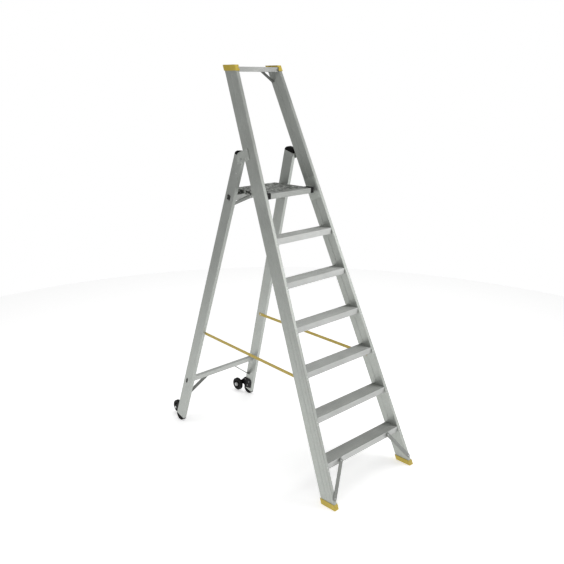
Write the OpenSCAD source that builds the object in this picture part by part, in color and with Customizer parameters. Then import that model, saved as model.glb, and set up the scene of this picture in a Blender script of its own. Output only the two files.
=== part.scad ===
// Folding aluminium platform ladder on two rear wheels.
// X runs across the treads, -Y is the climbing side, +Z is up, and the floor is at Z = 0.
// The left half is modelled, and the right half is its mirror image in X = 0.

/* [Climbing frame] */
// Height of one step
step_rise = 240; // [225:5:245]
// Half of the outside width at the floor
stile_half = 360.5; // [340:0.5:380]
// Stile width, seen from the side
stile_w = 94.8; // [90:0.2:98]
// Stile thickness across the ladder
stile_t = 23.4; // [20:0.2:26]
// Slope of the stiles, from the floor
stile_angle = 67.2; // [66:0.1:68.5]
// Sideways lean of each stile towards the top
stile_side_lean = 4.23; // [4:0.01:4.4]
// Height of the cut at the top of the stiles
stile_top = 2397; // [2380:1:2410]
// Tread depth, front to back
tread_d = 92; // [80:1:94]
// Height of the tread's front face
tread_h = 37.5; // [30:0.5:40]

/* [Rear frame] */
// Half of the outside width at the floor
leg_half = 331; // [320:0.5:332]
// Leg width, seen from the side
leg_w = 78; // [70:1:80]
// Leg thickness across the ladder
leg_t = 24; // [20:0.5:26]
// Slope of the legs, from the floor
leg_angle = 73.1; // [72.5:0.1:73.5]
// Sideways lean of each leg towards the top
leg_side_lean = 3.38; // [3.3:0.01:3.5]
// Distance from the stiles' front edge to the legs' front edge, at the floor
leg_foot_y = 1480; // [1470:1:1490]

/* [Platform] */
// Height of the standing surface
deck_z = 1680; // [1670:1:1690]
// Depth of the platform, front to back
deck_d = 338; // [320:1:340]
// Half of the deck's width
deck_half = 184; // [176:1:186]

/* [Wheels] */
// Wheel diameter
wheel_d = 94; // [88:0.5:96]
// Wheel width
wheel_w = 24; // [18:1:24]

/* [Hidden] */
$fn = 48;

// Colours
alloy = [0.66, 0.68, 0.65];
alloy_bright = [0.82, 0.83, 0.81];
yellow = [0.85, 0.72, 0.18];
webbing = [0.88, 0.78, 0.25];
black = [0.08, 0.08, 0.08];
steel = [0.72, 0.73, 0.74];
hub_grey = [0.75, 0.75, 0.74];

big = 4000;

// Stile lines: x of the outer face and y of the front edge at a height
stile_run = 1 / tan(stile_angle);
stile_tilt = atan(stile_run * cos(stile_side_lean));
function stile_out(z) = stile_half - tan(stile_side_lean) * z;
function stile_in(z) = stile_out(z) - stile_t / cos(stile_side_lean);
function stile_y(z) = stile_run * z;
// Distance up the slope for a point at a height, at a depth square to the stiles' front
function slope_z(z, depth = 0) = (z + depth * cos(stile_angle)) / sin(stile_angle);
stile_depth = stile_w / cos(stile_tilt);
stile_bottom = 4;
stile_wall = 2.8;

// Leg lines, in the same way
leg_run = 1 / tan(leg_angle);
leg_tilt = atan(leg_run * cos(leg_side_lean));
function leg_out(z) = leg_half - tan(leg_side_lean) * z;
function leg_in(z) = leg_out(z) - leg_t / cos(leg_side_lean);
function leg_y(z) = leg_foot_y - leg_run * z;
leg_wall = 2;

// Domed plugs at both ends of a leg, each a short block and an arc: the lower one just touches the floor
dome_base = 7;
dome_arc = 24;
dome_h = dome_base + dome_arc;
dome_r = (pow(leg_w / 2, 2) + pow(dome_arc, 2)) / (2 * dome_arc);
dome_low = dome_r + leg_t * tan(leg_side_lean) - leg_w / 2 * sin(leg_tilt);
leg_start = dome_low / cos(leg_tilt) - dome_r + dome_h;
leg_end = 1963;

// Pivot between the two frames
hinge_y = 921;
hinge_z = 1867;
hinge_r = 3.5;
// Round ear of the hinge plate, centred a little above the pivot
ear_y = 926;
ear_z = 1882;
plate_r = 34;
plate_t = 4;

// Platform pivot, close behind the nosing
deck_y = stile_y(deck_z) + 18;
pivot_y = deck_y + 31;
pivot_z = deck_z - 16;
nosing_h = 32;
nosing_d = 40;
nosing_half = 167;
end_cap_t = 27;
end_cap_d = 59;
bracket_t = 4;

// Distance up the legs' slope for a point at a height, at a depth square to the legs' front
function leg_slope_z(z, depth) = (z - depth * cos(leg_angle)) / sin(leg_angle);
// Cross tubes of the rear frame: [height, depth from the legs' front, size along the leg, size across it]
upper_tube = [1632, 43, 38, 34];
lower_tube = [318.4, 49.7, 36.5, 20.3];
tube_wall = 2;

// Wheels
axle_y = 1595.7;
axle_z = wheel_d / 2 + 10.3;
axle_r = 6;
wheel_x = 280;
hub_reach = 8;
running = 0.05;

// Straps
strap_w = 20.5;
strap_t = 1.6;
function strap_z(y) = 667 + 0.034 * (y - 400);

// The whole ladder is shifted so that the middle of its depth is at Y = 0
front_y = -1.5;
back_y = axle_y + wheel_d / 2;
mid_y = (front_y + back_y) / 2;

module placed() translate([0, -mid_y, 0]) children();
module right() mirror([1, 0, 0]) children();
// Left stile's own frame: x from its outer face inwards, y from its front edge back, z along it
module at_stile() translate([-stile_half, 0, 0]) rotate([-stile_tilt, stile_side_lean, 0]) children();
// Plane of the climbing frame: x across, y square to the stiles, z up the slope
module at_slope() rotate([-atan(stile_run), 0, 0]) children();
module at_leg() translate([-leg_half, leg_foot_y, 0]) rotate([leg_tilt, leg_side_lean, 0]) children();
module at_leg_plane() translate([0, leg_foot_y, 0]) rotate([atan(leg_run), 0, 0]) children();
module slab(z0, z1) translate([-big / 2, -big / 2, z0]) cube([big, big, z1 - z0]);
// Extrude a (y, z) outline across the ladder
module across(w) rotate([90, 0, 90]) linear_extrude(w, center = true) children();
// Space between two leaning faces, given the half width at the floor and the lean
module between(half, lean) {
    top = half - tan(lean) * 3000;
    rotate([90, 0, 0]) linear_extrude(2 * big, center = true)
        polygon([[-half, 0], [half, 0], [top, 3000], [-top, 3000]]);
}
module x_cylinder(r, x0, x1, y, z) translate([x0, y, z]) rotate([0, 90, 0]) cylinder(r = r, h = x1 - x0);
// Domed rivet head standing on z = 0
module rivet(r = 4, h = 1.8) {
    ball = (r * r + h * h) / (2 * h);
    translate([0, 0, h - ball]) intersection() {
        sphere(r = ball, $fn = 32);
        translate([-r, -r, ball - h]) cube([2 * r, 2 * r, h]);
    }
}

// Nearly flush rivet head
module flush_rivet(r = 3, h = 0.8) cylinder(r1 = r, r2 = r - h, h = h);

// ---- Climbing frame ----

// Hollow stile section with two shallow grooves outside and one inside
module stile_section() {
    groove = 1.8;
    difference() {
        square([stile_t, stile_w]);
        translate([stile_wall, stile_wall])
            square([stile_t - 2 * stile_wall, stile_w - 2 * stile_wall]);
        for (y = [21, 50]) polygon([[-1, y - 2], [0, y - 2], [groove, y], [0, y + 2], [-1, y + 2]]);
        translate([stile_t, 51]) polygon([[1, -2], [0, -2], [-groove, 0], [0, 2], [1, 2]]);
        polygon([[-1, -1], [2, -1], [2, 0], [0, 2], [-1, 2]]);
    }
}

module stile() color(alloy) intersection() {
    at_stile() translate([0, 0, -60]) linear_extrude(2800) stile_section();
    slab(stile_bottom, stile_top);
}

// Tread section: y from the front face back, top of the ribs at 0
module tread_section() {
    skin = 2.5;
    rib_h = 1.2;
    rear_h = tread_h - 7;
    translate([0, -rib_h - skin]) square([tread_d, skin]);
    translate([0, -tread_h]) square([skin, tread_h]);
    translate([0, -rib_h]) square([5, rib_h]);
    translate([0, -tread_h]) square([12, skin]);
    translate([tread_d - skin, -rear_h]) square([skin, rear_h - rib_h]);
    translate([tread_d - 12, -rear_h]) square([12, skin]);
    for (i = [0:12]) translate([8.4 + i * 6.4, -rib_h])
        polygon([[0, 0], [3.4, 0], [2.6, rib_h], [0.8, rib_h]]);
}

module tread(i) {
    z = i * step_rise;
    color(alloy) intersection() {
        translate([0, stile_y(z) + 0.5, z]) across(2 * stile_half) tread_section();
        between(stile_half - stile_t / cos(stile_side_lean), stile_side_lean);
    }
}

// Angle bracket under each end of each tread
module tread_brackets() color(alloy) for (i = [1:6]) {
    z1 = i * step_rise - 3.7;
    z0 = z1 - 22;
    leg = 3;
    reach = 24;
    outline = [[stile_in(z1), z1], [stile_in(z0), z0], [stile_in(z0) - leg, z0],
        [stile_in(z1 - leg) - leg, z1 - leg], [stile_in(z1) - reach, z1 - leg], [stile_in(z1) - reach, z1]];
    for (side = [0, 1]) mirror([side, 0, 0])
        translate([0, stile_y(i * step_rise) + 78, 0]) rotate([90, 0, 0])
            linear_extrude(60) polygon(outline);
}

// Rivet heads on the front edge of the stiles, two for each tread end
module tread_rivets() color(alloy_bright) for (i = [1:6], side = [0, 1], dz = [-18, -34])
    mirror([side, 0, 0]) at_stile()
        translate([stile_t - 8, 0, (i * step_rise + dz) / cos(stile_tilt)])
            rotate([90, 0, 0]) rivet(3.6, 1.6);

bar_z = 2393.5;
bar_h = 27.4;
bar_d = 88;
module top_bar_outline() translate([stile_y(bar_z), bar_z - bar_h]) square([bar_d, bar_h]);
module top_bar() {
    wall = 2;
    color(alloy_bright) intersection() {
        across(2 * stile_half) difference() {
            top_bar_outline();
            translate([stile_y(bar_z) + wall, bar_z - bar_h + wall])
                square([bar_d - 2 * wall, bar_h - 2 * wall]);
        }
        between(stile_half - stile_t / cos(stile_side_lean), stile_side_lean);
    }
}

// Flat bar of the given thickness along the line p to q in an (x, z) plane, its width along y
module flat_bar(p, q, thick, width) {
    reach = norm(q - p);
    translate([p[0], 0, p[1]]) rotate([0, -atan2(q[1] - p[1], q[0] - p[0]), 0])
        translate([-30, 0, -thick / 2]) cube([reach + 60, width, thick]);
}

// Strut under the top bar, near the rear edge of the stile
module top_brace() color(alloy) intersection() {
    at_slope() translate([0, 70, 0])
        flat_bar([-90, slope_z(2374, 80)], [-170, slope_z(2303, 80)], 3, 20);
    between(stile_half - stile_t / cos(stile_side_lean), stile_side_lean);
    slab(2200, bar_z - bar_h);
}

// Yellow cap over the top of a stile, open where the top bar comes in
module stile_cap() {
    lip = 3.5;
    color(yellow) difference() {
        intersection() {
            at_stile() translate([-lip, -lip, 2000]) cube([stile_t + 2 * lip, stile_w + 2 * lip, 900]);
            slab(2371, stile_top + 8);
        }
        intersection() {
            at_stile() cube([stile_t, stile_w, 3000]);
            slab(0, stile_top);
        }
        translate([-stile_in(bar_z - bar_h) - 0.2, stile_y(bar_z) - 6, bar_z - bar_h])
            cube([stile_half, bar_d + 6, bar_h]);
    }
}

// Yellow shoe around the bottom of a stile
module front_foot() {
    lip = 3.5;
    front = 1.5;
    color(yellow) difference() {
        intersection() {
            at_stile() translate([-lip, -front, -60])
                cube([stile_t + 2 * lip, stile_w + front + lip, 200]);
            slab(0, 31);
            translate([-stile_half - 20, front_y, 0]) rotate([90, 0, 90]) linear_extrude(80) difference() {
                square([200, 60]);
                difference() {
                    translate([-1, -1]) square([8, 8]);
                    translate([7, 7]) circle(r = 7);
                }
            }
        }
        intersection() {
            at_stile() translate([0, 0, -60]) cube([stile_t, stile_w, 3000]);
            slab(stile_bottom, 200);
        }
    }
}

// Flat brace from the first tread's front face down to the stile's front edge, in the plane of the slope
foot_brace_top = [-217, 222];
foot_brace_low = [-341, 60];
foot_brace_t = 3;
tread_face = stile_y(step_rise) + 0.5;
module foot_brace() {
    half = 12.5;
    top_end = 10;
    corner = 6;
    a = [foot_brace_top[0], slope_z(foot_brace_top[1])];
    b = [foot_brace_low[0], slope_z(foot_brace_low[1])];
    reach = norm(a - b);
    spacer = [-225, 216, 236];
    color(alloy) {
        at_slope() rotate([90, 0, 0]) linear_extrude(foot_brace_t)
            translate(b) rotate(atan2(a[1] - b[1], a[0] - b[0])) polygon([
                [corner - half, -half], [-half, corner - half], [-half, half - corner], [corner - half, half],
                [reach + top_end - corner, half], [reach + top_end, half - corner],
                [reach + top_end, corner - half], [reach + top_end - corner, -half]]);
        translate([spacer[0], 0, 0]) rotate([90, 0, 90]) linear_extrude(16) polygon([
            [tread_face, spacer[1]], [tread_face, spacer[2]],
            [stile_y(spacer[2]) - 1, spacer[2]], [stile_y(spacer[1]) - 1, spacer[1]]]);
    }
}

// Hinge plate on the stile's outer face, with a round ear behind the stile
function stile_local(y, z) = [y * cos(stile_tilt) - z * sin(stile_tilt),
    y * sin(stile_tilt) + z * cos(stile_tilt)];
ear_local = stile_local(ear_y, ear_z);
module hinge_plate() {
    front = 50;
    c = ear_local;
    color(alloy) difference() {
        at_stile() translate([-plate_t, 0, 0]) rotate([90, 0, 90]) linear_extrude(plate_t) union() {
            translate(c) circle(r = plate_r, $fn = 96);
            translate([front, c[1] - plate_r]) square([c[0] - front, 2 * plate_r]);
        }
        x_cylinder(hinge_r, -stile_half, 0, hinge_y, hinge_z);
    }
}

module hinge_bolt() {
    outer = stile_out(hinge_z) + plate_t + 0.6;
    inner = leg_in(hinge_z) - 0.6;
    nut = 5;
    color(steel) {
        x_cylinder(5.5, -outer - 3.5, -outer, hinge_y, hinge_z);
        x_cylinder(hinge_r, -outer, -inner + nut, hinge_y, hinge_z);
        x_cylinder(6, -inner, -inner + nut, hinge_y, hinge_z);
    }
}

// Plate inside the stile that carries the platform
module platform_bracket() {
    color(alloy) difference() {
        at_stile() translate([stile_t, 3, 1769]) cube([bracket_t, 89, 138]);
        x_cylinder(5, -stile_half, 0, pivot_y, pivot_z);
    }
}

module platform_pin() {
    plate_x = stile_in(pivot_z) - bracket_t;
    cap_x = nosing_half + end_cap_t;
    color(steel) difference() {
        union() {
            x_cylinder(5, -plate_x - 3, -nosing_half + 6, pivot_y, pivot_z);
            x_cylinder(9, -plate_x + 0.8, -cap_x - 0.5, pivot_y, pivot_z);
            x_cylinder(8, -nosing_half + 2.5, -nosing_half + 6, pivot_y, pivot_z);
        }
        at_stile() translate([-10, 0, 0]) cube([stile_t + 10, stile_w, 3000]);
    }
}

// Retaining strap on the inner faces, from stile to leg
module strap() {
    module post(x, y) translate([-x, y, strap_z(y) - strap_w / 2]) cube([strap_t, 1, strap_w]);
    gap = 0.8;
    ys = stile_y(665) + stile_depth;
    yl = leg_y(697);
    xs = stile_in(665) - gap;
    xl = leg_in(697) - gap;
    color(webbing) {
        hull() { post(xs, ys - 46); post(xs, ys); }
        hull() { post(xs, ys); post(xl, yl); }
        hull() { post(xl, yl); post(xl, yl + 52); }
    }
}

// Rivets of the climbing frame: hinge plates, foot braces, platform brackets, top braces and straps
module front_frame_rivets() color(alloy_bright) for (side = [0, 1]) mirror([side, 0, 0]) {
    for (y = [60, 84], z = [-22, 22])
        at_stile() translate([-plate_t, y, ear_local[1] + z]) rotate([0, -90, 0]) flush_rivet();
    for (y = [14, 80], z = [1781, 1893])
        at_stile() translate([stile_t + bracket_t, y, z]) rotate([0, 90, 0]) flush_rivet();
    for (p = [foot_brace_top, foot_brace_low])
        at_slope() translate([p[0], -foot_brace_t, slope_z(p[1])]) rotate([90, 0, 0]) rivet(3.6, 1.6);
    translate([-stile_in(665) + 0.8 + strap_t, stile_y(665) + stile_depth - 34, strap_z(360)])
        rotate([0, 90, 0]) rivet(5, 1.8);
}

// ---- Platform ----

// Shallow tray with two ribs underneath
module platform_deck() {
    skin = 3;
    flange = 24;
    depth = deck_d - nosing_d;
    // The front corners are notched to clear the end caps
    notch = end_cap_d - nosing_d + 0.6;
    narrow = nosing_half - 0.5;
    color(alloy) translate([0, deck_y + nosing_d, deck_z]) {
        translate([-narrow, 0, -skin]) cube([2 * narrow, depth, skin]);
        translate([-deck_half, notch, -skin]) cube([2 * deck_half, depth - notch, skin]);
        for (side = [0, 1]) mirror([side, 0, 0])
            translate([deck_half - skin, notch, -flange]) cube([skin, depth - notch, flange]);
        translate([-deck_half, depth - skin, -flange]) cube([2 * deck_half, skin, flange]);
        for (x = [-60, 60]) translate([x - 1.5, 0, -flange + 4]) cube([3, depth, flange - 4]);
    }
}

module platform_nosing() {
    skin = 2.5;
    color(alloy_bright) translate([0, deck_y, deck_z]) across(2 * nosing_half) {
        translate([0, -nosing_h]) square([skin, nosing_h]);
        translate([0, -skin]) square([nosing_d, skin]);
        translate([0, -nosing_h]) square([nosing_d - 2, skin]);
    }
}

module platform_end_cap() color(black) difference() {
    translate([-nosing_half - end_cap_t, deck_y, deck_z - nosing_h - 0.5])
        cube([end_cap_t, end_cap_d, nosing_h + 4]);
    x_cylinder(5 + running, -stile_half, 0, pivot_y, pivot_z);
}

// ---- Rear frame ----

// The tube is [height, depth, size along, size across]
module at_tube(tube) at_leg_plane() translate([0, tube[1], leg_slope_z(tube[0], tube[1])]) children();

module leg() color(alloy) difference() {
    at_leg() translate([0, 0, leg_start]) linear_extrude(leg_end - leg_start) difference() {
        square([leg_t, leg_w]);
        translate([leg_wall, leg_wall]) square([leg_t - 2 * leg_wall, leg_w - 2 * leg_wall]);
    }
    for (tube = [upper_tube, lower_tube]) at_tube(tube) cube([big, tube[3], tube[2]], center = true);
    x_cylinder(hinge_r + running, -leg_half, 0, hinge_y, hinge_z);
}

// Dome with a short plug, standing on the end of a leg at z = 0
module domed_plug(plug) {
    gap = leg_wall + 0.1;
    translate([0, leg_w / 2, dome_h - dome_r]) rotate([0, 90, 0]) intersection() {
        cylinder(r = dome_r, h = leg_t, $fn = 96);
        translate([-dome_r - 1, -dome_r, 0]) cube([dome_arc + 1, 2 * dome_r, leg_t]);
    }
    cube([leg_t, leg_w, dome_base]);
    translate([gap, gap, -plug]) cube([leg_t - 2 * gap, leg_w - 2 * gap, plug]);
}
module leg_cap() color(black) at_leg() translate([0, 0, leg_end]) domed_plug(3.5);
module rear_foot() color(black) at_leg() translate([0, leg_w, leg_start]) rotate([180, 0, 0]) domed_plug(8);

// Sleeves inside the legs, around the hinge bolts
module hinge_bushes() {
    x0 = leg_in(hinge_z) + leg_wall + 0.6;
    x1 = leg_out(hinge_z) - leg_wall - 0.6;
    color(steel) for (side = [0, 1]) mirror([side, 0, 0]) difference() {
        x_cylinder(4.6, -x1, -x0, hinge_y, hinge_z);
        x_cylinder(hinge_r + running, -leg_half, 0, hinge_y, hinge_z);
    }
}

module cross_tube(tube) {
    half = leg_out(tube[0]) + 1;
    color(alloy) at_tube(tube) difference() {
        cube([2 * half, tube[3], tube[2]], center = true);
        cube([3 * half, tube[3] - 2 * tube_wall, tube[2] - 2 * tube_wall], center = true);
    }
}

// Shallow brace on the front of the upper cross tube: its end points are measured from the tube's centre
brace_high = [-76, -6];
module upper_brace() {
    thick = 3;
    width = 22;
    low = [-214, -42];
    color(alloy) intersection() {
        at_tube(upper_tube) translate([0, -upper_tube[3] / 2, 0]) rotate([90, 0, 0]) linear_extrude(thick) {
            translate(low) rotate(atan2(brace_high[1] - low[1], brace_high[0] - low[0]))
                translate([-30, -width / 2]) square([norm(brace_high - low) + 30, width]);
            translate(brace_high) circle(d = width);
        }
        between(leg_half - leg_t / cos(leg_side_lean), leg_side_lean);
    }
}

// Strut from the underside of the lower cross tube to the leg, its width along the depth
module lower_brace() color(alloy) intersection() {
    at_leg_plane() translate([0, 47.5, 0]) flat_bar([-115.8, 299.4], [-300.7, 154.4], 3, 25);
    between(leg_half - leg_t / cos(leg_side_lean), leg_side_lean);
    at_tube(lower_tube) translate([-big / 2, -big / 2, -400 - lower_tube[2] / 2]) cube([big, big, 400]);
}

// Swan-neck bracket on the leg's inner face that carries the wheel behind the leg
function leg_local(y, z) = [(y - leg_foot_y) * cos(leg_tilt) + z * sin(leg_tilt),
    -(y - leg_foot_y) * sin(leg_tilt) + z * cos(leg_tilt)];
module wheel_bracket() {
    color(black) difference() {
        at_leg() translate([leg_t, 0, 0]) rotate([90, 0, 90]) linear_extrude(bracket_t) {
            polygon([
                leg_local(1461, 106), leg_local(1471, 129), leg_local(1530, 133), leg_local(1578, 90),
                leg_local(1607, 68), leg_local(1604, 43), leg_local(1584, 45), leg_local(1558, 66),
                leg_local(1545, 64), leg_local(1538, 45), leg_local(1474, 54)]);
            translate(leg_local(axle_y, axle_z)) circle(r = 18);
        }
        x_cylinder(axle_r, -leg_half, 0, axle_y, axle_z);
    }
}

// Rivets of the rear frame: hinge reinforcement, braces, wheel brackets and straps
module rear_frame_rivets() color(alloy_bright) for (side = [0, 1]) mirror([side, 0, 0]) {
    for (p = [leg_local(951, 1844), leg_local(966, 1785)])
        at_leg() translate([0, p[0], p[1]]) rotate([0, -90, 0]) rivet(3.4, 1.4);
    for (p = [leg_local(1526, 116), leg_local(1487, 102), leg_local(1507, 70)])
        at_leg() translate([leg_t + bracket_t, p[0], p[1]]) rotate([0, 90, 0]) rivet(3.4, 1.4);
    at_tube(upper_tube) translate([brace_high[0], -upper_tube[3] / 2 - 3, brace_high[1]])
        rotate([90, 0, 0]) rivet(3.6, 1.6);
    translate([-leg_in(697) + 0.8 + strap_t, leg_y(697) + 38, strap_z(1304)])
        rotate([0, 90, 0]) rivet(5, 1.8);
}

// ---- Wheels ----

hub_face = wheel_x - wheel_w / 2 - hub_reach;
axle_outer = wheel_x + wheel_w / 2;
module axle() {
    plate_out = leg_in(axle_z) + 1.2;
    color(steel) difference() {
        union() {
            x_cylinder(8, -plate_out - 4, -plate_out + 0.6, axle_y, axle_z);
            x_cylinder(axle_r, -plate_out, -hub_face + 1.8, axle_y, axle_z);
            x_cylinder(10, -plate_out + 2, -axle_outer - 1, axle_y, axle_z);
            x_cylinder(8, -hub_face + 0.3, -hub_face + 1.8, axle_y, axle_z);
        }
        difference() {
            at_leg() translate([leg_t, 0, -20]) cube([bracket_t, 200, 200]);
            x_cylinder(axle_r, -leg_half, 0, axle_y, axle_z);
        }
    }
}

module spin() translate([-wheel_x, axle_y, axle_z]) rotate([0, 90, 0]) rotate_extrude($fn = 96) children();
tyre_t = 15;
tyre_in = wheel_d / 2 - tyre_t;
hub_r = 14.5;
module tyre() color(black) spin() difference() {
    translate([tyre_in, -wheel_w / 2]) square([tyre_t, wheel_w]);
    for (s = [-1, 1]) translate([wheel_d / 2, s * wheel_w / 2]) rotate(45) square(6, center = true);
}
module wheel_rim() color(black) spin() {
    translate([tyre_in - 4, -wheel_w / 2 + 1]) square([4, wheel_w - 2]);
    translate([hub_r, -3]) square([tyre_in - hub_r - 3, 6]);
    translate([hub_r, -wheel_w / 2]) square([4, wheel_w]);
}
module wheel_hub() color(hub_grey) spin()
    translate([axle_r + running, -wheel_w / 2 - 0.5])
        square([hub_r - axle_r - running, wheel_w + 0.5 + hub_reach]);

placed() stile();  // stile_left
placed() right() stile();  // stile_right
placed() tread(1);  // tread_1
placed() tread(2);  // tread_2
placed() tread(3);  // tread_3
placed() tread(4);  // tread_4
placed() tread(5);  // tread_5
placed() tread(6);  // tread_6
placed() tread_brackets();
placed() tread_rivets();
placed() top_bar();
placed() top_brace();  // top_brace_left
placed() right() top_brace();  // top_brace_right
placed() stile_cap();  // stile_cap_left
placed() right() stile_cap();  // stile_cap_right
placed() front_foot();  // front_foot_left
placed() right() front_foot();  // front_foot_right
placed() foot_brace();  // foot_brace_left
placed() right() foot_brace();  // foot_brace_right
placed() hinge_plate();  // hinge_plate_left
placed() right() hinge_plate();  // hinge_plate_right
placed() front_frame_rivets();
placed() hinge_bolt();  // hinge_bolt_left
placed() right() hinge_bolt();  // hinge_bolt_right
placed() platform_bracket();  // platform_bracket_left
placed() right() platform_bracket();  // platform_bracket_right
placed() platform_pin();  // platform_pin_left
placed() right() platform_pin();  // platform_pin_right
placed() strap();  // strap_left
placed() right() strap();  // strap_right
placed() platform_deck();
placed() platform_nosing();
placed() platform_end_cap();  // platform_end_cap_left
placed() right() platform_end_cap();  // platform_end_cap_right
placed() leg();  // leg_left
placed() right() leg();  // leg_right
placed() leg_cap();  // leg_cap_left
placed() right() leg_cap();  // leg_cap_right
placed() rear_foot();  // rear_foot_left
placed() right() rear_foot();  // rear_foot_right
placed() hinge_bushes();
placed() cross_tube(upper_tube);  // upper_cross_tube
placed() cross_tube(lower_tube);  // lower_cross_tube
placed() upper_brace();  // upper_brace_left
placed() right() upper_brace();  // upper_brace_right
placed() lower_brace();  // lower_brace_left
placed() right() lower_brace();  // lower_brace_right
placed() rear_frame_rivets();
placed() wheel_bracket();  // wheel_bracket_left
placed() right() wheel_bracket();  // wheel_bracket_right
placed() axle();  // axle_left
placed() right() axle();  // axle_right
placed() tyre();  // tyre_left
placed() right() tyre();  // tyre_right
placed() wheel_rim();  // wheel_rim_left
placed() right() wheel_rim();  // wheel_rim_right
placed() wheel_hub();  // wheel_hub_left
placed() right() wheel_hub();  // wheel_hub_right
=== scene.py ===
import math
import random
import bpy
import bmesh
from mathutils import Vector, Matrix


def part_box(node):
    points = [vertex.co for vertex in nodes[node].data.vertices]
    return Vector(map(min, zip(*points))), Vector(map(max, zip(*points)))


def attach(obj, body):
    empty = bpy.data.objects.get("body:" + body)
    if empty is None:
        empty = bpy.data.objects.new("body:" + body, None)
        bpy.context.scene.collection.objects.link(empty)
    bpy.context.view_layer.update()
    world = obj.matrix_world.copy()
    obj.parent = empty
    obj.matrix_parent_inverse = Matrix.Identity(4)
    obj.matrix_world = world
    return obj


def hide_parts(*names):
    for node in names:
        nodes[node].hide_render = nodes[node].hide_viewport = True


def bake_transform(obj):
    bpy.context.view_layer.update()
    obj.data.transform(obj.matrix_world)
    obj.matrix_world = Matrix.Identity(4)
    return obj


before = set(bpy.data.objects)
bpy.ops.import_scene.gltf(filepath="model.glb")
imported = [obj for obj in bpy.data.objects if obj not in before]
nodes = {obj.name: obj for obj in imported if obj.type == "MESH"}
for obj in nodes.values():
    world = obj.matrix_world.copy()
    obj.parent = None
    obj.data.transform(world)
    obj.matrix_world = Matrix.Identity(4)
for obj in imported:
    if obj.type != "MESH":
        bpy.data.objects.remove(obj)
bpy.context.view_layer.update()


def turned(angle, axis):
    """A rotation by an angle in degrees about one axis."""
    return Matrix.Rotation(math.radians(angle), 4, axis)


# ---- Camera: lens in millimetres, place in metres, angles in degrees ----

SENSOR_WIDTH = 36
LENS = 44.57
LENS_SHIFT = (-0.0030, -0.0016)
CLIP_END = 60
CAMERA_PLACE = (-2.9216, -3.0687, 2.3092)
HEADING = -43.87
LOOK_DOWN = 15.95
ROLL = -0.047

camera_data = bpy.data.cameras.new("camera")
camera_data.sensor_width = SENSOR_WIDTH
camera_data.lens = LENS
camera_data.shift_x, camera_data.shift_y = LENS_SHIFT
camera_data.clip_end = CLIP_END
camera = bpy.data.objects.new("camera", camera_data)
camera.location = CAMERA_PLACE
camera.rotation_euler = (turned(HEADING, "Z") @ turned(90 - LOOK_DOWN, "X") @ turned(ROLL, "Z")).to_euler()
bpy.context.scene.collection.objects.link(camera)
bpy.context.scene.camera = camera

# ---- Materials: noise scales are per metre, bump distances in metres ----


class Paint:
    """A material's node tree, with short ways to add to it."""

    def __init__(self, name, rough=0.5, metallic=0.0):
        self.mat = bpy.data.materials.new(name)
        self.mat.use_nodes = True
        self.tree = self.mat.node_tree
        self.shader = self.tree.nodes["Principled BSDF"]
        self.shader.inputs["Roughness"].default_value = rough
        self.shader.inputs["Metallic"].default_value = metallic
        self.height = None

    def add(self, kind, inputs=None, **settings):
        """Adds a node: inputs are links or values, settings are the node's own properties."""
        n = self.tree.nodes.new(kind)
        for key, value in settings.items():
            setattr(n, key, value)
        for key, value in (inputs or {}).items():
            if isinstance(value, bpy.types.NodeSocket):
                self.tree.links.new(value, n.inputs[key])
            else:
                n.inputs[key].default_value = value
        return n

    def place(self, scale=(1, 1, 1), turn=(0, 0, 0)):
        """The object's own coordinates, turned by degrees and then stretched."""
        where = self.add("ShaderNodeTexCoord").outputs["Object"]
        angles = [math.radians(a) for a in turn]
        level = self.add("ShaderNodeMapping", {"Vector": where, "Rotation": angles}).outputs[0]
        return self.add("ShaderNodeMapping", {"Vector": level, "Scale": scale}).outputs[0]

    def noise(self, where, scale, detail=3.0, rough=0.5):
        inputs = {"Vector": where, "Scale": scale, "Detail": detail, "Roughness": rough}
        return self.add("ShaderNodeTexNoise", inputs).outputs["Fac"]

    def cells(self, where, scale, feature="F1"):
        n = self.add("ShaderNodeTexVoronoi", {"Vector": where, "Scale": scale}, feature=feature)
        return n.outputs["Distance"]

    def waves(self, where, scale, distortion, direction):
        inputs = {"Vector": where, "Scale": scale, "Distortion": distortion}
        return self.add("ShaderNodeTexWave", inputs, bands_direction=direction).outputs["Fac"]

    def span(self, value, low, high, to_low=0.0, to_high=1.0):
        """Maps low..high to to_low..to_high, and holds the ends."""
        inputs = {"Value": value, "From Min": low, "From Max": high, "To Min": to_low, "To Max": to_high}
        return self.add("ShaderNodeMapRange", inputs).outputs[0]

    def calc(self, how, a, b):
        return self.add("ShaderNodeMath", {0: a, 1: b}, operation=how).outputs[0]

    def weighted(self, *parts):
        """Adds up patterns, each times its own weight."""
        scaled = [self.calc("MULTIPLY", value, weight) for value, weight in parts]
        total = scaled[0]
        for part in scaled[1:]:
            total = self.calc("ADD", total, part)
        return total

    def blend(self, amount, a, b):
        """A colour from a to b, where each is a link or three numbers."""
        n = self.add("ShaderNodeMix", {"Factor": amount}, data_type="RGBA")
        for socket, value in ((n.inputs[6], a), (n.inputs[7], b)):
            if isinstance(value, bpy.types.NodeSocket):
                self.tree.links.new(value, socket)
            else:
                socket.default_value = (*value, 1)
        return n.outputs[2]

    def colour(self, value):
        self.tree.links.new(value, self.shader.inputs["Base Color"])

    def rough(self, value):
        self.tree.links.new(value, self.shader.inputs["Roughness"])

    def bump(self, height, strength, distance):
        """Adds relief on top of any relief that is there already."""
        n = self.add("ShaderNodeBump", {"Height": height, "Strength": strength, "Distance": distance})
        if self.height is not None:
            self.tree.links.new(self.height, n.inputs["Normal"])
        self.height = n.outputs[0]
        self.tree.links.new(self.height, self.shader.inputs["Normal"])


STILE_SLOPE = 67.2
LEG_SLOPE = 73.1
STILE_TURN = (90 - STILE_SLOPE, 0, 0)
LEG_TURN = (LEG_SLOPE - 90, 0, 0)
STRETCH = 0.006
LINE_SCALE = 420


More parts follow.
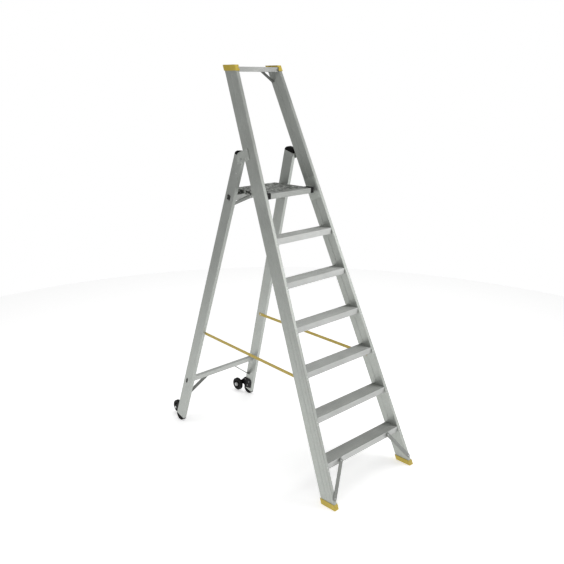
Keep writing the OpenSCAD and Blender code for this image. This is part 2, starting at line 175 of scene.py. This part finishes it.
def aluminium(name, light, dark, turn=(0, 0, 0), along=2, rough=0.44, metallic=0.7):
    """Mill-finish extrusion: die lines along its length, a fine grain, specks and soft cloudy patches."""
    p = Paint(name, rough, metallic)
    stretch = [1, 1, 1]
    stretch[along] = STRETCH
    lines = p.noise(p.place(stretch, turn), LINE_SCALE, detail=4, rough=0.6)
    grain = p.noise(p.place(), 900, detail=2, rough=0.7)
    cloud = p.noise(p.place(), 7, detail=3, rough=0.55)
    speck = p.noise(p.place(), 150, detail=2, rough=0.6)
    mixed = p.weighted((lines, 0.45), (grain, 0.35), (cloud, 0.25), (speck, 0.45))
    p.colour(p.blend(p.span(mixed, 0.50, 0.98), dark, light))
    p.rough(p.span(cloud, 0.3, 0.7, rough - 0.07, rough + 0.09))
    p.bump(lines, strength=0.25, distance=0.0002)
    p.bump(grain, strength=0.20, distance=0.0002)
    return p.mat


def moulded(name, light, dark, rough=0.45, grain=700, depth=0.0002, gloss=0.5):
    """Injection-moulded plastic or rubber with a fine spark-eroded grain and scuffs."""
    p = Paint(name, rough)
    p.shader.inputs["Specular IOR Level"].default_value = gloss
    pits = p.cells(p.place(), grain)
    patch = p.noise(p.place(), 9, detail=4, rough=0.6)
    p.colour(p.blend(p.span(patch, 0.35, 0.7), dark, light))
    p.rough(p.span(patch, 0.3, 0.7, rough - 0.08, rough + 0.1))
    p.bump(pits, strength=0.35, distance=depth)
    return p.mat


def tread_material():
    """Tread: top faces painted darker as painted shade of the ribs, which are in the shape, and front-facing
    faces painted lighter as painted light; small cross cuts and dirt over all.
    """
    p = Paint("tread_alloy", rough=0.46, metallic=0.6)
    lines = p.noise(p.place((STRETCH, 1, 1)), LINE_SCALE, detail=4, rough=0.6)
    grain = p.noise(p.place(), 600, detail=3, rough=0.7)
    cloud = p.noise(p.place(), 9, detail=3, rough=0.55)
    shade = p.span(p.weighted((lines, 0.4), (grain, 0.5), (cloud, 0.35)), 0.38, 0.86)
    # Top faces take a darker colour, painted shade for the ribs; front faces take the lighter colour called
    # smooth, painted light.
    painted_shade_top = p.blend(shade, (0.30, 0.313, 0.294), (0.53, 0.546, 0.52))
    smooth = p.blend(shade, (0.46, 0.47, 0.455), (0.64, 0.65, 0.634))
    normal = p.add("ShaderNodeTexCoord").outputs["Normal"]
    facing = p.add("ShaderNodeSeparateXYZ", {0: normal}).outputs["Y"]
    # Picks the colour by which way a face turns: painted light on faces towards -Y, painted shade on the
    # rest.
    p.colour(p.blend(p.span(facing, -0.9, -0.5, 1.0, 0.0), painted_shade_top, smooth))
    p.bump(p.waves(p.place(), 70, 0.6, "X"), strength=0.12, distance=0.0004)
    p.bump(grain, strength=0.25, distance=0.0003)
    return p.mat


def deck_material(name, dark, light):
    """Embossed deck sheet: small raised grains packed at random over rolled aluminium."""
    p = Paint(name, rough=0.46, metallic=0.7)
    dots = p.cells(p.place(), 150, "SMOOTH_F1")
    grain = p.noise(p.place(), 500, detail=3, rough=0.7)
    cloud = p.noise(p.place(), 8, detail=3, rough=0.5)
    speck = p.noise(p.place((1, 0.45, 1)), 75, detail=1, rough=0.5)
    raised = p.span(dots, 0.15, 0.55, 1.0, 0.0)
    shade = p.weighted((raised, 0.20), (grain, 0.20), (cloud, 0.2), (speck, 0.9))
    p.colour(p.blend(p.span(shade, 0.66, 0.92), dark, light))
    p.bump(raised, strength=0.5, distance=0.0008)
    p.bump(grain, strength=0.2, distance=0.0002)
    return p.mat


def steel_material():
    """Zinc-plated fastener: fine turning marks and a mottled plating."""
    p = Paint("zinc_steel", rough=0.34, metallic=0.9)
    patch = p.noise(p.place(), 160, detail=3, rough=0.6)
    p.colour(p.blend(p.span(patch, 0.35, 0.65), (0.50, 0.51, 0.52), (0.68, 0.69, 0.70)))
    p.rough(p.span(patch, 0.3, 0.7, 0.28, 0.42))
    p.bump(p.noise(p.place(), 1500, detail=2), strength=0.15, distance=0.0001)
    return p.mat


def rivet_material():
    """Soft aluminium rivet head, brighter than what it holds."""
    p = Paint("rivet_alloy", rough=0.32, metallic=0.6)
    patch = p.noise(p.place(), 220, detail=3, rough=0.6)
    p.colour(p.blend(p.span(patch, 0.35, 0.65), (0.70, 0.71, 0.70), (0.86, 0.87, 0.86)))
    p.bump(p.noise(p.place(), 1400, detail=2), strength=0.15, distance=0.0001)
    return p.mat


def webbing_material():
    """Woven polyester: warp ribs along the strap crossed by finer weft, with a soft sheen."""
    p = Paint("webbing", rough=0.75)
    p.shader.inputs["Sheen Weight"].default_value = 0.25
    warp = p.waves(p.place((0, 0.03, 1)), 170, 0.4, "Z")
    weft = p.waves(p.place((0, 1, 0.03)), 210, 0.5, "Y")
    weave = p.calc("MULTIPLY", warp, weft)
    fibre = p.noise(p.place(), 900, detail=3, rough=0.7)
    shade = p.weighted((weave, 0.6), (fibre, 0.4))
    p.colour(p.blend(p.span(shade, 0.15, 0.7), (0.50, 0.36, 0.06), (0.72, 0.57, 0.14)))
    p.bump(weave, strength=0.6, distance=0.0004)
    p.bump(fibre, strength=0.3, distance=0.0002)
    return p.mat


stile_alloy = aluminium("stile_alloy", (0.585, 0.61, 0.577), (0.40, 0.42, 0.392), STILE_TURN)
leg_alloy = aluminium("leg_alloy", (0.55, 0.572, 0.543), (0.38, 0.40, 0.375), LEG_TURN)
cross_alloy = aluminium("cross_alloy", (0.56, 0.575, 0.555), (0.40, 0.415, 0.395), along=0)
bar_alloy = aluminium("bar_alloy", (0.43, 0.436, 0.424), (0.32, 0.326, 0.314), along=0, rough=0.50)
# A darker copy of the alloy for the braces: painted shade, as their faces lie in shadow.
shaded_brace_alloy = aluminium("shaded_brace_alloy", (0.36, 0.375, 0.355), (0.24, 0.25, 0.235), rough=0.5, metallic=0.5)
shaded_alloy = aluminium("shaded_alloy", (0.15, 0.157, 0.147), (0.09, 0.095, 0.088),
                         rough=0.5, metallic=0.5)
nosing_alloy = aluminium("nosing_alloy", (0.36, 0.37, 0.355), (0.26, 0.27, 0.255), along=0, rough=0.42)
plate_alloy = aluminium("plate_alloy", (0.66, 0.69, 0.65), (0.47, 0.495, 0.46), STILE_TURN)
tread_alloy = tread_material()
deck_alloy = deck_material("deck_alloy", (0.05, 0.054, 0.048), (0.56, 0.575, 0.545))
stud_alloy = deck_material("stud_alloy", (0.14, 0.147, 0.135), (0.72, 0.74, 0.71))
zinc_steel = steel_material()
rivet_alloy = rivet_material()
yellow_plastic = moulded("yellow_plastic", (0.70, 0.54, 0.085), (0.56, 0.42, 0.055), rough=0.42, grain=600)
black_plastic = moulded("black_plastic", (0.006, 0.006, 0.006), (0.003, 0.003, 0.003), rough=0.5, gloss=0.2)
black_rubber = moulded("black_rubber", (0.005, 0.005, 0.005), (0.002, 0.002, 0.002),
                       rough=0.66, grain=500, depth=0.0003, gloss=0.15)
tyre_rubber = moulded("tyre_rubber", (0.012, 0.012, 0.012), (0.006, 0.006, 0.006),
                      rough=0.62, grain=420, depth=0.0003, gloss=0.22)
bracket_black = moulded("bracket_black", (0.009, 0.009, 0.010), (0.005, 0.005, 0.005),
                        rough=0.42, grain=900, depth=0.0001, gloss=0.2)
hub_grey = moulded("hub_grey", (0.50, 0.50, 0.49), (0.40, 0.40, 0.39))
webbing = webbing_material()

# ---- Materials and rounded edges on the CAD nodes ----

WELD_GAP = 0.00001
SHARP_ANGLE = 35


def repaint(obj, mat):
    """Puts one material in every slot, or adds it where there is none."""
    for slot in obj.material_slots:
        slot.material = mat
    if not obj.material_slots:
        obj.data.materials.append(mat)


def soften(obj, width):
    """Rounds a CAD node's sharp edges with modifiers, and leaves its mesh alone."""
    weld = obj.modifiers.new("weld", "WELD")
    weld.merge_threshold = WELD_GAP
    bevel = obj.modifiers.new("edges", "BEVEL")
    bevel.width = width
    bevel.segments = 2
    bevel.limit_method = "ANGLE"
    bevel.angle_limit = math.radians(SHARP_ANGLE)
    bevel.use_clamp_overlap = True
    bevel.harden_normals = True


# How a node's name starts, its material and its bevel in metres. The first match counts.
FINISH = [
    ("stile_cap", yellow_plastic, 0.0012),
    ("stile_", stile_alloy, 0.0006),
    ("tread_brackets", cross_alloy, 0.0004),
    ("tread_rivets", rivet_alloy, 0),
    ("tread_", tread_alloy, 0.0003),
    ("top_bar", bar_alloy, 0.0008),
    ("top_brace", shaded_alloy, 0.0005),
    ("front_foot", yellow_plastic, 0.0012),
    ("foot_brace", shaded_brace_alloy, 0.0006),
    ("hinge_plate", plate_alloy, 0.0008),
    ("front_frame_rivets", rivet_alloy, 0),
    ("rear_frame_rivets", rivet_alloy, 0),
    ("hinge_bolt", zinc_steel, 0.0005),
    ("hinge_bushes", zinc_steel, 0),
    ("platform_pin", zinc_steel, 0.0004),
    ("platform_bracket", plate_alloy, 0.0006),
    ("platform_deck", deck_alloy, 0.0005),
    ("platform_nosing", nosing_alloy, 0.0006),
    ("platform_end_cap", black_plastic, 0.0016),
    ("leg_cap", black_rubber, 0.001),
    ("rear_foot", black_rubber, 0.0015),
    ("leg_", leg_alloy, 0.0006),
    ("upper_cross_tube", cross_alloy, 0.0005),
    ("lower_cross_tube", cross_alloy, 0.0005),
    ("upper_brace", shaded_brace_alloy, 0.0005),
    ("lower_brace", shaded_brace_alloy, 0.0003),
    ("wheel_bracket", bracket_black, 0.0007),
    ("axle", zinc_steel, 0.0004),
    ("tyre", tyre_rubber, 0.001),
    ("wheel_rim", black_plastic, 0.0005),
    ("wheel_hub", hub_grey, 0.001),
    ("strap", webbing, 0),
]
for name, obj in nodes.items():
    for start, mat, width in FINISH:
        if name.startswith(start):
            repaint(obj, mat)
            if width:
                soften(obj, width)
            break
    else:
        raise SystemExit("no finish for " + name)

# ---- Pieces that take the place of plain solids, or add to them ----

SIDES = (("left", -1), ("right", 1))


def add_piece(name, bm, mat, body, smooth=True):
    """Makes a piece from a bmesh and rides it on a body, unless the body is None."""
    mesh = bpy.data.meshes.new(name)
    bmesh.ops.recalc_face_normals(bm, faces=bm.faces)
    bm.to_mesh(mesh)
    bm.free()
    for face in mesh.polygons:
        face.use_smooth = smooth
    mesh.materials.append(mat)
    obj = bpy.data.objects.new(name, mesh)
    bpy.context.scene.collection.objects.link(obj)
    if body:
        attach(obj, body)
    return obj


def bridge(bm, a, b):
    """Joins two closed rings of vertices with faces."""
    for i in range(len(a)):
        j = (i + 1) % len(a)
        bm.faces.new((a[i], a[j], b[j], b[i]))


STRAP_T = 0.0016
STRAP_W = 0.0205
STRAP_FRONT_END = 0.046
STRAP_REAR_END = 0.053
STRAP_MARGIN = 0.001
STRAP_EASE = 0.0002
STRAP_STEPS = 220
SINGLE_PLY = 0.72
LAP_STEP = 0.006
STITCH = 0.0022
STITCH_PITCH = 1.5 * STITCH
STITCH_FROM_END = 0.004
STITCH_FROM_LAP = 0.008
STITCH_THICK = 0.0005
STITCH_WIDE = 0.0006
STITCH_ROW = 0.36 * STRAP_W
STITCH_OUT = 0.40 * STRAP_T
# One face of the webbing: across in half widths, and out from its middle in thicknesses.
STRAP_FACE = [(-1, 0.45), (-0.86, 0.5), (-0.7, 0.34), (-0.35, 0.38), (0, 0.38), (0.35, 0.38), (0.7, 0.34),
              (0.86, 0.5), (1, 0.45)]


def strap(side, sign):
    """Flat webbing from stile to leg: thicker selvedges, a doubled end at each frame and box stitching."""
    low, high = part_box("strap_" + side)
    inner = min(abs(low[0]), abs(high[0])) + STRAP_T / 2
    outer = max(abs(low[0]), abs(high[0])) - STRAP_T / 2
    y0, y3 = low[1] + STRAP_MARGIN, high[1] - STRAP_MARGIN
    y1, y2 = low[1] + STRAP_FRONT_END, high[1] - STRAP_REAR_END
    half = STRAP_W / 2 - STRAP_EASE
    z_front, z_rear = low[2] + STRAP_W / 2, high[2] - STRAP_W / 2

    def middle(y):
        across = min(1, max(0, (y - y1) / (y2 - y1)))
        x = outer + (inner - outer) * across
        return sign * x, z_front + (z_rear - z_front) * (y - y0) / (y3 - y0)

    outline = STRAP_FACE + [(a, -b) for a, b in reversed(STRAP_FACE)]
    bm = bmesh.new()
    rings = []
    for i in range(STRAP_STEPS + 1):
        y = y0 + (y3 - y0) * i / STRAP_STEPS
        x, z = middle(y)
        ply = 1.0 if y < y1 - LAP_STEP or y > y2 + LAP_STEP else SINGLE_PLY
        rings.append([bm.verts.new((x + b * STRAP_T * ply, y, z + a * half)) for a, b in outline])
    for a, b in zip(rings, rings[1:]):
        bridge(bm, a, b)
    for ring in (rings[0], rings[-1]):
        bm.faces.new(ring)
    size = Matrix.Diagonal((STITCH_THICK, STITCH, STITCH_WIDE, 1))
    front_lap = (y0 + STITCH_FROM_END, y1 - STITCH_FROM_LAP)
    rear_lap = (y2 + STITCH_FROM_LAP, y3 - STITCH_FROM_END)
    for start, stop in (front_lap, rear_lap):
        count = int((stop - start) / STITCH_PITCH)
        for row in (-STITCH_ROW, STITCH_ROW):
            for i in range(count):
                y = start + (i + 0.5) * (stop - start) / count
                x, z = middle(y)
                for face in (-1, 1):
                    at = Matrix.Translation((x + face * STITCH_OUT, y, z + row))
                    bmesh.ops.create_cube(bm, size=1, matrix=at @ size)
    obj = add_piece("webbing_" + side, bm, webbing, None, smooth=False)
    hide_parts("strap_" + side)
    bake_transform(obj)


for side, sign in SIDES:
    strap(side, sign)

GRIP_PITCH = 0.0068
GRIP_R = 0.0026
GRIP_H = 0.0008
GRIP_SINK = 0.0002
GRIP_SIDES = 6
GRIP_CROWN = 0.5
GRIP_SCATTER = 0.0011
GRIP_SMALLEST, GRIP_LARGEST = 0.75, 1.15
GRIP_TWIST = 0.3
GRIP_START_X, GRIP_START_Y = 0.009, 0.006
GRIP_EDGE_X, GRIP_EDGE_Y = 0.012, 0.008
CAP_REACH_X, CAP_REACH_Y = 0.024, 0.005


def deck_grip():
    """Low pointed studs pressed up from the deck sheet, a little out of line with each other."""
    rng = random.Random(7)
    low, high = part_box("platform_deck")
    cap_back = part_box("platform_end_cap_left")[1][1]
    foot, top = high[2] - GRIP_SINK, high[2] + GRIP_H
    bm = bmesh.new()
    rows = int((high[1] - low[1] - GRIP_EDGE_Y) / GRIP_PITCH)
    columns = int((high[0] - low[0] - GRIP_EDGE_X) / GRIP_PITCH)
    for i in range(rows):
        for j in range(columns):
            y = low[1] + GRIP_START_Y + (i + 0.5) * GRIP_PITCH + rng.uniform(-1, 1) * GRIP_SCATTER
            x = low[0] + GRIP_START_X + (j + 0.5 * (i % 2)) * GRIP_PITCH + rng.uniform(-1, 1) * GRIP_SCATTER
            if y < cap_back + CAP_REACH_Y and abs(x) > high[0] - CAP_REACH_X:
                continue
            r = GRIP_R * rng.uniform(GRIP_SMALLEST, GRIP_LARGEST)
            rim = []
            crown = []
            for k in range(GRIP_SIDES):
                a = math.radians(360 / GRIP_SIDES * k) + rng.uniform(0, GRIP_TWIST)
                along, across = r * math.cos(a), r * math.sin(a)
                rim.append(bm.verts.new((x + along, y + across, foot)))
                crown.append(bm.verts.new((x + GRIP_CROWN * along, y + GRIP_CROWN * across, top)))
            bridge(bm, rim, crown)
            bm.faces.new(crown)
            bm.faces.new(rim)
    add_piece("deck_grip", bm, stud_alloy, "platform")


deck_grip()

TYRE_SEGMENTS = 144
TYRE_DEPTH = 0.015
GROOVE_DEPTH = 0.0012
GROOVE_EVERY = 6
GROOVE_WIDTH = 2
# From the bore to the tread: across in half widths, and in from the outer radius in metres.
TYRE_WALL = [(-1, TYRE_DEPTH), (-1, 0.0125), (-0.93, 0.0115), (-0.93, 0.0085), (-1, 0.0075),
             (-0.97, 0.0042), (-0.86, 0.0018), (-0.68, 0.0003)]
TYRE_TREAD = [(-0.5, 0), (-0.25, 0), (0, 0), (0.25, 0), (0.5, 0)]


def tyre(side):
    """Solid tyre: a flat tread band cut by slanted grooves, round shoulders and a ring on each side."""
    low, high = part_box("tyre_" + side)
    middle = (Vector(low) + Vector(high)) / 2
    r = (high[2] - low[2]) / 2
    w = (high[0] - low[0]) / 2
    profile = TYRE_WALL + TYRE_TREAD + [(-a, b) for a, b in reversed(TYRE_WALL)]
    first = len(TYRE_WALL)
    centre_line = first + len(TYRE_TREAD) // 2
    bm = bmesh.new()
    rings = []
    for i in range(TYRE_SEGMENTS):
        turn = 2 * math.pi * i / TYRE_SEGMENTS
        ring = []
        for k, (a, inset) in enumerate(profile):
            on_tread = 0 <= k - first < len(TYRE_TREAD)
            slanted = (i + abs(k - centre_line)) % GROOVE_EVERY < GROOVE_WIDTH
            radius = r - inset - (GROOVE_DEPTH if on_tread and slanted else 0)
            y = middle.y + radius * math.cos(turn)
            z = middle.z + radius * math.sin(turn)
            ring.append(bm.verts.new((middle.x + a * w, y, z)))
        rings.append(ring)
    for a, b in zip(rings, rings[1:] + rings[:1]):
        bridge(bm, a, b)
    obj = add_piece("tyre_tread_" + side, bm, tyre_rubber, "wheel_" + side, smooth=False)
    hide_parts("tyre_" + side)


HUB_SEGMENTS = 48
RIB_COUNT = 6
# The raised ring: out from the hub's end in metres, and from its centre in hub radii.
HUB_RING = [(0, 0.60), (0.0012, 0.62), (0.0016, 0.70), (0.0012, 0.78), (0, 0.80), (-0.0004, 0.70)]
RIB_OUT = 0.0004
RIB_THICK = 0.0016
RIB_WIDE = 0.0014
# In hub radii.
RIB_LENGTH = 0.14
RIB_CENTRE = 0.88


def hub_face(side, sign):
    """Raised ring and short ribs on the hub's inner end, which show that the wheel turns."""
    low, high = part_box("wheel_hub_" + side)
    centre = (Vector(low) + Vector(high)) / 2
    r = (high[2] - low[2]) / 2
    face = low[0] if sign > 0 else high[0]
    out = -sign
    bm = bmesh.new()
    rings = []
    for i in range(HUB_SEGMENTS):
        turn = 2 * math.pi * i / HUB_SEGMENTS
        rings.append([bm.verts.new((face + out * d, centre.y + r * k * math.cos(turn),
                                    centre.z + r * k * math.sin(turn))) for d, k in HUB_RING])
    for a, b in zip(rings, rings[1:] + rings[:1]):
        bridge(bm, a, b)
    at = Matrix.Translation((face + out * RIB_OUT, centre.y, centre.z))
    size = Matrix.Diagonal((RIB_THICK, r * RIB_LENGTH, RIB_WIDE, 1))
    for i in range(RIB_COUNT):
        spoke = turned(360 / RIB_COUNT * i, "X") @ Matrix.Translation((0, r * RIB_CENTRE, 0))
        bmesh.ops.create_cube(bm, size=1, matrix=at @ spoke @ size)
    add_piece("hub_ribs_" + side, bm, hub_grey, "wheel_" + side)


for side, sign in SIDES:
    tyre(side)
    hub_face(side, sign)

# ---- Room ----

FLOOR_RADIUS = 4.5
FLOOR_WHITE = (0.90, 0.90, 0.90)
FLOOR_DULL = 0.985
FLOOR_GLOW = 0.50


def floor_material():
    """White paper with a faint cloud in it and a little glow of its own."""
    p = Paint("floor_paper", rough=0.9)
    patch = p.noise(p.place(), 2, detail=2)
    p.colour(p.blend(patch, [c * FLOOR_DULL for c in FLOOR_WHITE], FLOOR_WHITE))
    p.shader.inputs["Emission Color"].default_value = (1, 1, 1, 1)
    p.shader.inputs["Emission Strength"].default_value = FLOOR_GLOW
    return p.mat


floor_mesh = bpy.data.meshes.new("floor")
bm = bmesh.new()
bmesh.ops.create_circle(bm, cap_ends=True, segments=128, radius=FLOOR_RADIUS)
bm.to_mesh(floor_mesh)
bm.free()
floor_mesh.materials.append(floor_material())
floor = bpy.data.objects.new("floor", floor_mesh)
bpy.context.scene.collection.objects.link(floor)

# Brightness overhead and on the dark side; the bright side and what the camera sees are 1.
WORLD_TOP = 0.32
WORLD_LEFT = 0.36
# The bright side's direction, and how far round to it the brightness changes.
WORLD_TOWARDS = (1, 0.25, 0)
WORLD_SIDE = 0.0
WORLD_FRONT = 0.5
# The height at which the sides give way to the top.
WORLD_LOW = 0.10
WORLD_HIGH = 0.20


def studio_world():
    """Bright low down behind and on the right, grey overhead, darker on the left, white when looked at."""
    world = bpy.data.worlds.new("studio")
    world.use_nodes = True
    tree = world.node_tree
    where = tree.nodes.new("ShaderNodeTexCoord").outputs["Generated"]
    split = tree.nodes.new("ShaderNodeSeparateXYZ")
    tree.links.new(where, split.inputs[0])

    def ramp(value, low, high):
        n = tree.nodes.new("ShaderNodeMapRange")
        n.interpolation_type = "SMOOTHSTEP"
        tree.links.new(value, n.inputs["Value"])
        n.inputs["From Min"].default_value = low
        n.inputs["From Max"].default_value = high
        return n.outputs[0]

    def mix(amount, a, b):
        n = tree.nodes.new("ShaderNodeMix")
        tree.links.new(amount, n.inputs[0])
        for socket, value in ((n.inputs[2], a), (n.inputs[3], b)):
            if isinstance(value, bpy.types.NodeSocket):
                tree.links.new(value, socket)
            else:
                socket.default_value = value
        return n.outputs[0]

    towards = tree.nodes.new("ShaderNodeVectorMath")
    towards.operation = "DOT_PRODUCT"
    tree.links.new(where, towards.inputs[0])
    towards.inputs[1].default_value = WORLD_TOWARDS
    low = mix(ramp(towards.outputs["Value"], WORLD_SIDE, WORLD_FRONT), WORLD_LEFT, 1.0)
    level = mix(ramp(split.outputs["Z"], WORLD_LOW, WORLD_HIGH), low, WORLD_TOP)
    seen = tree.nodes.new("ShaderNodeLightPath").outputs["Is Camera Ray"]
    back = tree.nodes["Background"]
    tree.links.new(mix(seen, level, 1.0), back.inputs["Strength"])
    back.inputs["Color"].default_value = (1, 1, 1, 1)
    return world


bpy.context.scene.world = studio_world()


def softbox(name, place, target, size, power):
    """A rectangular light that faces its target. The power is in watts."""
    data = bpy.data.lights.new(name, "AREA")
    data.shape = "RECTANGLE"
    data.size, data.size_y = size
    data.energy = power
    light = bpy.data.objects.new(name, data)
    light.location = place
    light.rotation_euler = (Vector(target) - Vector(place)).to_track_quat("-Z", "Y").to_euler()
    bpy.context.scene.collection.objects.link(light)


softbox("key", place=(1.2, -1.75, 2.05), target=(-0.1, -0.2, 1.4), size=(1.0, 1.4), power=11)
softbox("front_low", place=(3.3, -3.3, 0.3), target=(0.3, -0.3, 1.3), size=(1.8, 0.5), power=6)
softbox("overhead", place=(0.6, 0.4, 5.5), target=(0.6, 0.4, 0), size=(4.0, 4.0), power=120)
softbox("left", place=(-6.0, -0.4, 1.6), target=(0, -0.1, 1.4), size=(1.0, 1.6), power=30)

bpy.context.scene.view_settings.view_transform = "Standard"
